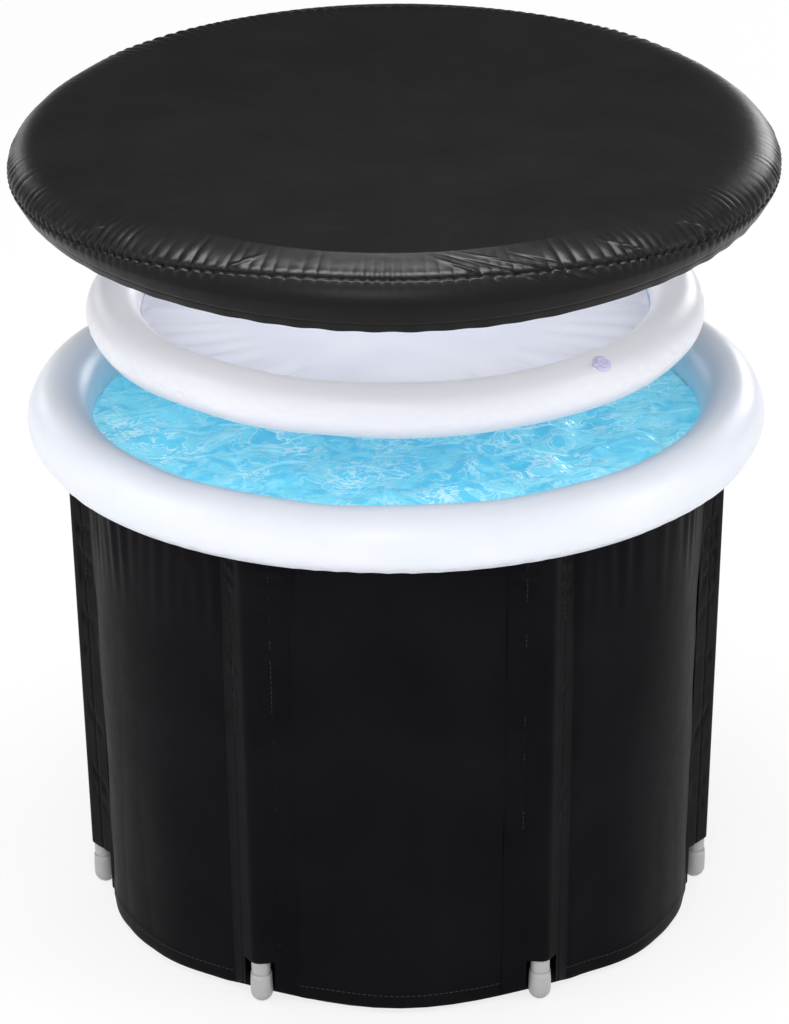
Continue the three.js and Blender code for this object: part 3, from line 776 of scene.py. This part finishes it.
def make_lid():
    sizes = (LID_RING_RADIUS, LID_HEIGHT, LID_TUBE_RADIUS)
    made = tube_ring("lid_tube", *sizes, "lid", lid_vinyl, 31, LID_WELDS)
    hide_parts("lid_ring")
    matrix = tube_matrix(*sizes, *LID_VALVE)
    make_valve("lid", matrix, LID_TUBE_RADIUS, "lid", "lid_plug")
    azimuth = turn(480)
    edge = LID_RING_RADIUS - LID_TUBE_RADIUS - 0.0002
    radius = np.linspace(0.0, edge, 110)[:, None]
    share = radius / edge
    sag = LID_HEIGHT - MEMBRANE_SAG * (1 - share**2)
    rim = smoothstep(share, 0.55, 0.92) * (1 - 0.7 * smoothstep(share, 0.97, 1.0))
    radial = 0.0032 * rim * waves(azimuth, share, 51, 7, 18, 46, 3.0)
    broad = 0.0030 * (1 - share**4) * waves(azimuth, share, 57, 5, 1, 5, 6.0) * smoothstep(share, 0.0, 0.3)
    top = sag + radial + broad
    heights = np.concatenate([top, (top - MEMBRANE_THICKNESS)[::-1]])
    radii = np.concatenate([radius, radius[::-1]])
    made = ring_object("lid_sheet", radii, heights, azimuth, "lid", sheet_vinyl)
    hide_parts("lid_membrane")


# Cover


def cover_outline(flat_radius, rise_start, rise, widest_height, hem_height, leave, drop):
    """Radius and height from the middle of the cover's top, over the shoulder and down to the hem."""
    radius = np.linspace(0.0, flat_radius, TOP_ROWS)
    points = [(r, COVER_TOP + rise * float(smoothstep(r, rise_start, flat_radius))) for r in radius]
    start = points[-1]
    corners = [
        start,
        (start[0] + leave * (COVER_WIDEST_RADIUS - flat_radius), start[1] - drop),
        (COVER_WIDEST_RADIUS, widest_height + 0.68 * (start[1] - widest_height)),
        (COVER_WIDEST_RADIUS, widest_height),
    ]
    for share in np.linspace(0, 1, SHOULDER_ROWS + 1)[1:]:
        weights = [(1 - share) ** 3, 3 * share * (1 - share) ** 2, 3 * share**2 * (1 - share), share**3]
        points.append(tuple(sum(w * c[k] for w, c in zip(weights, corners)) for k in (0, 1)))
    for share in np.linspace(0, 1, SKIRT_ROWS + 1)[1:]:
        skirt_radius = COVER_WIDEST_RADIUS + (COVER_HEM_RADIUS - COVER_WIDEST_RADIUS) * share**1.3
        points.append((skirt_radius, widest_height + (hem_height - widest_height) * share))
    return np.array(points)


def cover_form(azimuth):
    """The cover's smooth form: low in front and high at the back."""
    front = cover_outline(*COVER_FRONT)
    side = cover_outline(*COVER_SIDE)
    back = cover_outline(*COVER_BACK)
    ahead = np.maximum(np.cos(azimuth), 0.0) ** 2
    behind = np.maximum(-np.cos(azimuth), 0.0) ** 1.4
    beside = 1.0 - ahead - behind
    form = []
    for k in (0, 1):
        form.append(front[:, k, None] * ahead + side[:, k, None] * beside + back[:, k, None] * behind)
    return form[0], form[1]


def cover_crease(azimuth, along, centre_degrees, centre_along, slope, width, reach, depth):
    """A short fold that runs across the shoulder at a slant."""
    turned = np.radians((np.degrees(azimuth) - centre_degrees + 180) % 360 - 180) * COVER_WIDEST_RADIUS
    shifted = along - centre_along
    across = turned - slope * shifted
    return depth * np.exp(-((across / width) ** 2)) * np.exp(-((shifted / reach) ** 2))


def cover_lift(azimuth, along, widest, end):
    """How far the cloth stands out from the smooth form: gathers, the seam, the hem and creases."""
    from_axis = np.degrees(np.arcsin(np.abs(np.sin(azimuth))))
    wander = 0.002 * waves(azimuth, 0.0, 61, 5, 2, 9, 0.0)
    seam = widest - SEAM_ABOVE_WIDEST + SEAM_SIDE_DROP * smoothstep(from_axis, 8, 72) + wander
    above = seam - along
    phase = COVER_GATHERS * azimuth + 2.6 * np.sin(7 * azimuth) + 1.9 * np.sin(17 * azimuth + 1.0)
    strength = 0.85 + 0.25 * waves(azimuth, 0.0, 63, 6, 5, 40, 0.0).clip(-1, 1)
    reach = 0.016 + 0.008 * waves(azimuth, 0.0, 64, 6, 9, 60, 0.0).clip(-1, 1)
    reach = reach * (1.0 - 0.45 * smoothstep(from_axis, 50, 85))
    rising = np.where(above > 0, np.exp(-above / reach), np.exp(above / 0.006))
    valley = np.abs(np.sin(phase / 2)) ** 0.6 - 0.66
    strength = strength * (0.6 + 0.4 * smoothstep(from_axis, 12, 45))
    gathers = GATHER_HEIGHT * strength * rising * valley
    ridge = 0.0008 * np.exp(-(((above - 0.008) / 0.006) ** 2))
    groove = -0.0024 * np.exp(-((above / 0.0020) ** 2))
    down = end - along
    hem_waves = 0.0006 * np.exp(-down / 0.014) * waves(azimuth, along, 66, 8, 18, 70, 60.0)
    hem_groove = -0.0005 * np.exp(-(((down - 0.013) / 0.0016) ** 2))
    top_waves = 0.0002 * smoothstep(along, 0.10, 0.36) * waves(azimuth, along, 67, 6, 2, 9, 12.0)
    lift = gathers + ridge + groove + hem_waves + hem_groove + top_waves
    for centre, place, slope, width, long, depth in COVER_CREASES:
        lift = lift + cover_crease(azimuth, along, centre, seam - place, slope, width, long, depth)
    return lift * smoothstep(along, 0.0, 0.05)


def make_cover():
    azimuth = turn(1440)
    radius, height = cover_form(azimuth)
    steps = np.hypot(np.diff(radius, axis=0), np.diff(height, axis=0))
    along = np.concatenate([np.zeros_like(radius[:1]), np.cumsum(steps, axis=0)])
    widest = along[TOP_ROWS + SHOULDER_ROWS - 1]
    lift = cover_lift(azimuth, along, widest, along[-1])
    size = np.maximum(np.hypot(np.gradient(radius, axis=0), np.gradient(height, axis=0)), 1e-9)
    out_radius = -np.gradient(height, axis=0) / size
    out_height = np.gradient(radius, axis=0) / size
    outer_radius = radius + lift * out_radius
    outer_height = height + lift * out_height
    inner_radius = outer_radius - COVER_CLOTH * out_radius
    inner_height = outer_height - COVER_CLOTH * out_height
    radii = np.maximum(np.concatenate([outer_radius[::-1], inner_radius]), 0.0)
    heights = np.concatenate([outer_height[::-1], inner_height])
    made = ring_object("cover", radii, heights, azimuth, "cover", cover_cloth)
    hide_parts("cover_top", "cover_skirt")
    elastic = make_elastic(azimuth, inner_radius[ELASTIC_ROWS], inner_height[ELASTIC_ROWS])


def make_elastic(azimuth, radius, height):
    """The elastic lies on the inside of the hem."""
    outer = radius - 0.0003
    inner = outer - 0.0009 - 0.0004 * np.abs(np.sin(170 * azimuth))
    radii = np.concatenate([outer, inner[::-1]])
    heights = np.concatenate([height, height[::-1]])
    made = ring_object("hem_elastic", radii, heights, azimuth, "cover", seal_rubber)
    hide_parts("cover_elastic")
    return made


def dress_kept_nodes():
    kept = {
        "insulation_wall": padding,
        "insulation_base": padding,
        "inner_liner": liner_vinyl,
        "base_panel": wall_cloth,
    }
    for name, material in kept.items():
        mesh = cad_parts[name].data
        mesh.materials.clear()
        mesh.materials.append(material)


# Stage


def make_floor():
    mesh = bpy.data.meshes.new("floor")
    corners = [(FLOOR_REACH * x, FLOOR_REACH * y, 0) for x, y in ((-1, -1), (1, -1), (1, 1), (-1, 1))]
    mesh.from_pydata(corners, [], [(0, 1, 2, 3)])
    floor = bpy.data.objects.new("floor", mesh)
    bpy.context.scene.collection.objects.link(floor)
    floor.location.z = -FLOOR_BELOW
    material = bpy.data.materials.new("floor")
    material.use_nodes = True
    tree = material.node_tree
    tree.nodes.clear()
    matt = node(tree, "ShaderNodeBsdfDiffuse")
    matt.inputs["Color"].default_value = (FLOOR_TONE, FLOOR_TONE, FLOOR_TONE, 1)
    glow = node(tree, "ShaderNodeEmission")
    glow.inputs["Strength"].default_value = 1.0
    path = node(tree, "ShaderNodeLightPath")
    seen = node(tree, "ShaderNodeMath", operation="MAXIMUM")
    tree.links.new(path.outputs["Is Camera Ray"], seen.inputs[0])
    tree.links.new(path.outputs["Is Glossy Ray"], seen.inputs[1])
    also = node(tree, "ShaderNodeMath", operation="MAXIMUM")
    tree.links.new(seen.outputs["Value"], also.inputs[0])
    tree.links.new(path.outputs["Is Transmission Ray"], also.inputs[1])
    share = node(tree, "ShaderNodeMath", operation="MULTIPLY")
    tree.links.new(also.outputs["Value"], share.inputs[0])
    share.inputs[1].default_value = FLOOR_GLOW_SHARE
    mix = node(tree, "ShaderNodeMixShader")
    tree.links.new(share.outputs["Value"], mix.inputs["Fac"])
    tree.links.new(matt.outputs["BSDF"], mix.inputs[1])
    tree.links.new(glow.outputs["Emission"], mix.inputs[2])
    out = node(tree, "ShaderNodeOutputMaterial")
    tree.links.new(mix.outputs["Shader"], out.inputs["Surface"])
    mesh.materials.append(material)


def make_world():
    world = bpy.data.worlds.new("studio")
    bpy.context.scene.world = world
    world.use_nodes = True
    tree = world.node_tree
    tree.nodes.clear()
    path = node(tree, "ShaderNodeLightPath")
    soft = node(tree, "ShaderNodeBackground")
    soft.inputs["Color"].default_value = (1, 1, 1, 1)
    direction = node(tree, "ShaderNodeTexCoord")
    parts = node(tree, "ShaderNodeSeparateXYZ")
    tree.links.new(direction.outputs["Generated"], parts.inputs["Vector"])
    dimmer = node(tree, "ShaderNodeMapRange")
    dimmer.inputs["From Min"].default_value = 0.0
    dimmer.inputs["From Max"].default_value = WORLD_FADE
    dimmer.inputs["To Min"].default_value = WORLD_FRONT
    dimmer.inputs["To Max"].default_value = WORLD_BACK
    tree.links.new(parts.outputs["Y"], dimmer.inputs["Value"])
    tree.links.new(dimmer.outputs["Result"], soft.inputs["Strength"])
    white = node(tree, "ShaderNodeBackground")
    white.inputs["Color"].default_value = (1, 1, 1, 1)
    white.inputs["Strength"].default_value = 1.0
    mix = node(tree, "ShaderNodeMixShader")
    tree.links.new(path.outputs["Is Camera Ray"], mix.inputs["Fac"])
    tree.links.new(soft.outputs["Background"], mix.inputs[1])
    tree.links.new(white.outputs["Background"], mix.inputs[2])
    out = node(tree, "ShaderNodeOutputWorld")
    tree.links.new(mix.outputs["Shader"], out.inputs["Surface"])


def make_light(name, place, aim, width, depth, power):
    data = bpy.data.lights.new(name, "AREA")
    data.shape = "ELLIPSE"
    data.size = width
    data.size_y = depth
    data.energy = power
    made = bpy.data.objects.new(name, data)
    bpy.context.scene.collection.objects.link(made)
    made.location = place
    made.visible_camera = False
    made.rotation_euler = (Vector(aim) - Vector(place)).to_track_quat("-Z", "Y").to_euler()
    return made


def make_cover_light():
    """A soft lamp just under the cover's top, which lights the lid's sheet and moves with the cover."""
    made = make_light(*COVER_LAMP)
    made.visible_glossy = False
    cover = bpy.data.objects["cover"]
    bpy.context.view_layer.update()
    made.parent = cover
    made.matrix_parent_inverse = cover.matrix_world.inverted()


def make_camera():
    data = bpy.data.cameras.new("camera")
    data.sensor_fit = "VERTICAL"
    data.sensor_height = SENSOR_HEIGHT
    data.lens = FOCAL_PIXELS / IMAGE_HEIGHT * SENSOR_HEIGHT
    data.clip_end = 400.0
    made = bpy.data.objects.new("camera", data)
    bpy.context.scene.collection.objects.link(made)
    elevation = math.radians(VIEW_ELEVATION)
    made.location = VIEW_TARGET + VIEW_DISTANCE * Vector((0, -math.cos(elevation), math.sin(elevation)))
    tilted = Matrix.Rotation(math.pi / 2 - elevation, 4, "X")
    rolled = tilted @ Matrix.Rotation(math.radians(VIEW_ROLL), 4, "Z")
    made.rotation_euler = rolled.to_euler()
    bpy.context.scene.camera = made


make_camera()
make_wall()
for place, degrees in enumerate(POLE_AZIMUTHS, 1):
    make_pocket(place, degrees)
    make_leg(place, degrees)
make_stitching()
make_collar()
make_water()
make_drain()
make_lid()
make_cover()
dress_kept_nodes()
make_floor()
make_world()
for lamp in LAMPS:
    make_light(*lamp)
make_cover_light()
bpy.context.scene.view_settings.view_transform = "Standard"
